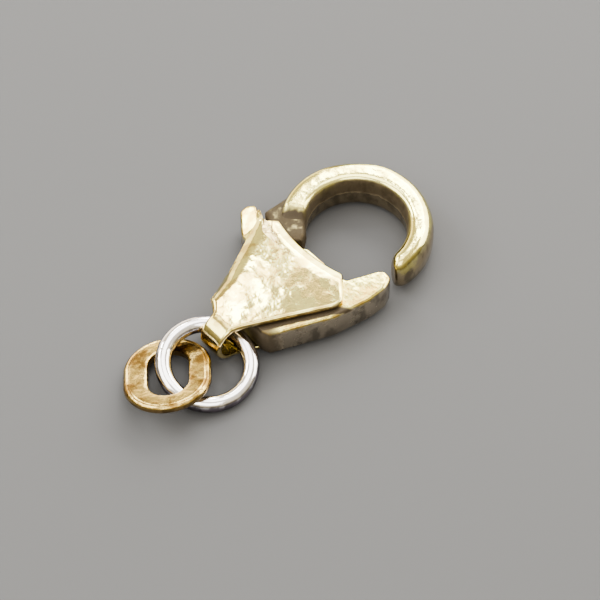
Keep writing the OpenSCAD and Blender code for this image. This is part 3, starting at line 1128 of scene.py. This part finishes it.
def on_the_ring(f):
    """Dirt and painted shade round the soldered joint, thinning out along the ring, and painted shade under
    its inside's upper edge.
    """
    apart = f.node("ShaderNodeVectorMath", {"operation": "DISTANCE"}, {0: f.place, 1: JOINT_AT}, "Value")
    ragged = 0.8 * (f.noise(0.3, detail=4, stretch=(1, 1, 3)) - 0.5)
    # Dirt and painted shade round the joint, where the ring goes in under the cheek
    joint = 1 - (apart / MM + ragged).within(0.95, 1.5)
    x, y, z = f.axes()
    radius = (x * x + y * y) ** 0.5 / MM
    height = z / MM + 0.25 * (f.noise(0.5, detail=3) - 0.5)
    # Painted shade under the upper edge of the inside
    band = height.within(0.95, 1.15) * (1 - height.within(1.72, 1.85))
    inside = (1 - radius.within(2.26, 2.4)) * band
    return either(joint, 0.8 * inside)


ring_gold = metal("ring_gold", (0.97, 0.92, 0.38), dull=(0.66, 0.53, 0.17), wall_shade=(0.46, 0.38, 0.26),
                  roughness=0.07, wear=0.6, depth=0.018, dirt_and_shade=on_the_ring)
ring_gold.on(hook_ring)

# %% [markdown]
# Root: dull solder, with painted shade
#
# The soldered root was never polished, and it lies low between the cheeks, where shade falls. It is dark and
# dull, with streaks of bare metal, so its colours are low, partly as painted shade, and a stretched noise
# lays dirt and painted shade over nearly all of it.

# %% Root gold
def on_the_root(f):
    """Dirt and painted shade in streaks over the whole root, with bare metal left between them."""
    return 0.92 * f.noise(0.3, detail=4, stretch=(1, 1, 3)).within(0.3, 0.5)


# Low colours: dull solder, and painted shade of the recess between the cheeks
root_gold = metal("root_gold", (0.22, 0.19, 0.10), dull=(0.16, 0.12, 0.06), wall_shade=(0.16, 0.12, 0.07),
                  roughness=0.3, wear=1.0, lump=0.3, dirt_and_shade=on_the_root)
root_gold.on(ring_root)

# %% [markdown]
# Lever: yellow gold with a dark line of dirt and painted shade
#
# The lever's gold is yellower than the housing's. Between the cheek's straight edge and the lever a dark
# line is painted, for dirt in the gap and the shade under the cheek's edge, and the heel is painted dark
# with dirt and shade as well. The line is a distance from the cheek's edge, kept off the gate by a second
# line at the corner, so it stays beside the edge however the gate is shaped.

# %% Lever gold
# A way along y over the way square to a long side
SIDE_LEAN = 1.118
EDGE_CORNER, CORNER_FADE = (-3.5, -2.9), 0.25


def on_the_lever(f):
    """Dirt and painted shade on the lever's top, inside a line just outside the cheek's straight edge, and
    round its heel.
    """
    x, y, z = f.axes()
    over_edge = y + SIDE_Y * MM + SIDE_SLOPE * (x - SIDE_X * MM)
    off_edge = over_edge / (SIDE_LEAN * MM) + 0.12 * (f.noise(0.3, detail=3) - 0.5)
    past_x = (x - EDGE_CORNER[0] * MM) / (CORNER_FADE * MM)
    past_y = (y - EDGE_CORNER[1] * MM) / (CORNER_FADE * MM)
    corner = past_x + 0.8 * past_y
    # Dirt and painted shade in the gap beside the cheek's edge
    top = off_edge.within(-0.27, -0.19) * (1 - corner.within(-0.5, 0.5)) * (z / MM).within(1.4, 1.55)
    # Dirt and painted shade on the heel, inside the housing
    heel = 1 - (x / MM + 0.9 * (f.noise(0.4, detail=4) - 0.5)).within(-6.6, -6.0)
    return either(top, 0.85 * heel)


lever_gold = metal("lever_gold", (0.97, 0.90, 0.33), dull=(0.60, 0.43, 0.13), wall_shade=(0.54, 0.47, 0.37),
                   roughness=0.1, wear=0.9, lump=0.4, depth=0.014, dirt_and_shade=on_the_lever)
lever_gold.on(lever)

# %% [markdown]
# Pin: plain gold
#
# The dressed cheeks cover the pin's ends, so it hardly shows. It takes the recipe as it is, a little
# duller.

# %% Pin gold
pin_gold = metal("pin_gold", (0.8, 0.68, 0.4), dull=(0.6, 0.48, 0.26), wall_shade=(0.5, 0.4, 0.25),
                 roughness=0.25)
pin_gold.on(hinge_pin)

# %% [markdown]
# Jump ring: silver
#
# Silver reflects all colours alike, so the wire is painted white on top and dark grey below, as painted
# shade. Drawn wire is smooth, so its dents are half as deep as the sheet's.

# %% Silver
silver = metal("silver", (0.98, 0.97, 0.98), dull=(0.84, 0.80, 0.84), wall_shade=(0.24, 0.21, 0.24),
               roughness=0.07, depth=0.010)
silver.on(jump_ring)

# %% [markdown]
# End link: worn gold
#
# The chain's link has rubbed on its neighbours for years. Its gold is browner and rougher than the
# clasp's, its smudges go all the way to brown, and its dents are small and deep.

# %% Worn gold
worn_gold = metal("worn_gold", (0.78, 0.60, 0.23), dull=(0.26, 0.16, 0.05), wall_shade=(0.30, 0.21, 0.10),
                  roughness=0.16, wear=1.0, lump=0.4, depth=0.03)
worn_gold.on(end_link)

# %% [markdown]
# Camera
#
# The camera looks from the side of the eye and the gate, more down than across, through a long lens, so
# the small clasp is drawn with hardly any perspective. Its three directions come first, because the
# lights use them. The view's contrast is set a step higher, as polished metal looks in hard light.

# %% Camera
RIGHT = np.array([0.7396, -0.6730, 0.0])
UP = np.array([0.5354, 0.5883, 0.6060])
FORWARD = np.array([0.4078, 0.4482, -0.7955])
CAMERA_AT = (-51.97, -53.52, 94.06)
FOCAL_LENGTH, SENSOR = 167.04, 36

lens = bpy.data.cameras.new("camera")
lens.sensor_width = SENSOR
lens.lens = FOCAL_LENGTH
lens.clip_start, lens.clip_end = 0.005, 5
camera = bpy.data.objects.new("camera", lens)
bpy.context.scene.collection.objects.link(camera)
pose = Matrix(np.stack([RIGHT, UP, -FORWARD], axis=1).tolist())
camera.matrix_world = Matrix.Translation([k * MM for k in CAMERA_AT]) @ pose.to_4x4()
bpy.context.scene.camera = camera
bpy.context.scene.view_settings.look = "AgX - Medium High Contrast"
print("the camera looks down by", round(math.degrees(math.asin(-FORWARD[2])), 1), "degrees")

# %% [markdown]
# Floor
#
# The clasp lies on a plain matt floor. It is far larger than the view, so its edge never shows, and it is
# only stage: it isn't part of the object.

# %% Floor
FLOOR_SIZE = 600
FLOOR_GREY = (0.119, 0.122, 0.128)

bpy.ops.mesh.primitive_plane_add(size=FLOOR_SIZE * MM, location=(0, 0, 0))
floor = bpy.context.object
floor.name = "floor"
paper = bpy.data.materials.new("pale_paper")
paper.use_nodes = True
paper_shader = paper.node_tree.nodes["Principled BSDF"]
paper_shader.inputs["Base Color"].default_value = (*FLOOR_GREY, 1)
paper_shader.inputs["Roughness"].default_value = 0.9
floor.data.materials.append(paper)
print("floor:", FLOOR_SIZE, "mm square")

# %% [markdown]
# Sky
#
# Polished metal shows the room round it, so what isn't a window matters too. The sky is a ramp by height:
# dark near the floor, where the walls of the pieces look, and paler above. It could be one grey, but then
# every wall would be as bright as every top.

# %% Sky by height
SKY = [
    (0.0, (0.1, 0.085, 0.06)),
    (0.3, (0.24, 0.21, 0.15)),
    (0.5, (0.58, 0.52, 0.40)),
    (0.72, (0.52, 0.46, 0.36)),
    (0.95, (0.7, 0.66, 0.58)),
]
SKY_STRENGTH = 1.7

world = bpy.data.worlds.new("world")
bpy.context.scene.world = world
world.use_nodes = True
sky = Tree(world.node_tree)
background = world.node_tree.nodes["Background"]
direction = sky.node("ShaderNodeTexCoord", output="Generated")
height = sky.node("ShaderNodeSeparateXYZ", sockets={"Vector": direction}, output="Z")
glow = sky.node("ShaderNodeValToRGB", {"stops": SKY}, {"Fac": height}, "Color")
sky.wire(background.inputs["Color"], glow)
sky.wire(background.inputs["Strength"], SKY_STRENGTH)
print("sky:", len(SKY), "stops")

# %% [markdown]
# Windows
#
# Big soft lights stand where the faces of the clasp look: level ones overhead, a leaning one in front,
# and low ones at the sides for the walls. The dark spaces between them draw the dark edges that tell
# metal from paint. Small lamps would give hard sparks instead. Brightness is given as radiance, because
# that is what a mirror shows, whatever the window's size.

# %% A soft light
def soft_light(name, at, toward, size, radiance, tint=(1, 1, 1)):
    """A rectangular light that faces a place. Its energy is its radiance times pi times its area."""
    lamp = bpy.data.lights.new(name, "AREA")
    lamp.shape = "RECTANGLE"
    lamp.size, lamp.size_y = size[0] * MM, size[1] * MM
    lamp.energy = radiance * math.pi * lamp.size * lamp.size_y
    lamp.color = tint
    holder = bpy.data.objects.new(name, lamp)
    bpy.context.scene.collection.objects.link(holder)
    aim = np.array(toward, float) - at
    aim /= np.linalg.norm(aim)
    side_way = np.cross(aim, [0, 0, 1])
    if np.linalg.norm(side_way) < 0.01:
        # A level window has no sideways direction of its own, so it takes the picture's
        side_way = RIGHT
    side_way = side_way / np.linalg.norm(side_way)
    up_way = np.cross(side_way, aim)
    turn = Matrix(np.stack([side_way, up_way, -aim], axis=1).tolist())
    holder.matrix_world = Matrix.Translation([k * MM for k in at]) @ turn.to_4x4()
    print(name, round(lamp.energy, 3), "watts")


CEILING = 118
CEILING_TINT = (1.0, 0.98, 0.95)


def ceiling_light(name, across, ahead, radiance):
    """A level window, from its reach to the picture's right and its reach away from the camera."""
    forward = np.array([-RIGHT[1], RIGHT[0], 0])
    middle = RIGHT * (across[0] + across[1]) / 2 + forward * (ahead[0] + ahead[1]) / 2 + [0, 0, CEILING]
    size = (across[1] - across[0], ahead[1] - ahead[0])
    soft_light(name, middle, middle - [0, 0, 1], size, radiance, CEILING_TINT)


# %% The windows
WARM_WALL = (1.0, 0.86, 0.70)
SUNLIT = (1.0, 0.97, 0.9)
DAYLIGHT = (1.0, 0.97, 0.92)

soft_light("front_window", at=(-72, -80, 130), toward=(-8, -1, 0), size=(130, 90), radiance=3.0)
ceiling_light("far_window", across=(-2, 60), ahead=(92, 150), radiance=10.0)
ceiling_light("left_window", across=(-44, -8), ahead=(72, 92), radiance=12.0)
ceiling_light("right_window", across=(12, 120), ahead=(76, 91), radiance=9.0)
ceiling_light("overhead_window", across=(-45, 45), ahead=(-10, 58), radiance=3.2)
soft_light("side_window", at=(120, 12, 60), toward=(0, 0, 0), size=(230, 105), radiance=4.5, tint=SUNLIT)
soft_light("horizon_wall", at=(25, 150, 32), toward=(0, 0, 10), size=(150, 66), radiance=2.0, tint=WARM_WALL)
soft_light("tab_window", at=(-40, 116, 84), toward=(-3, 3, 0), size=(50, 50), radiance=8.0)
soft_light("back_window", at=(-95, 66, 104), toward=(-6, 0, 0), size=(110, 100), radiance=3.6, tint=DAYLIGHT)

# %% [markdown]
# The dressed clasp has to stay inside the solids' box.
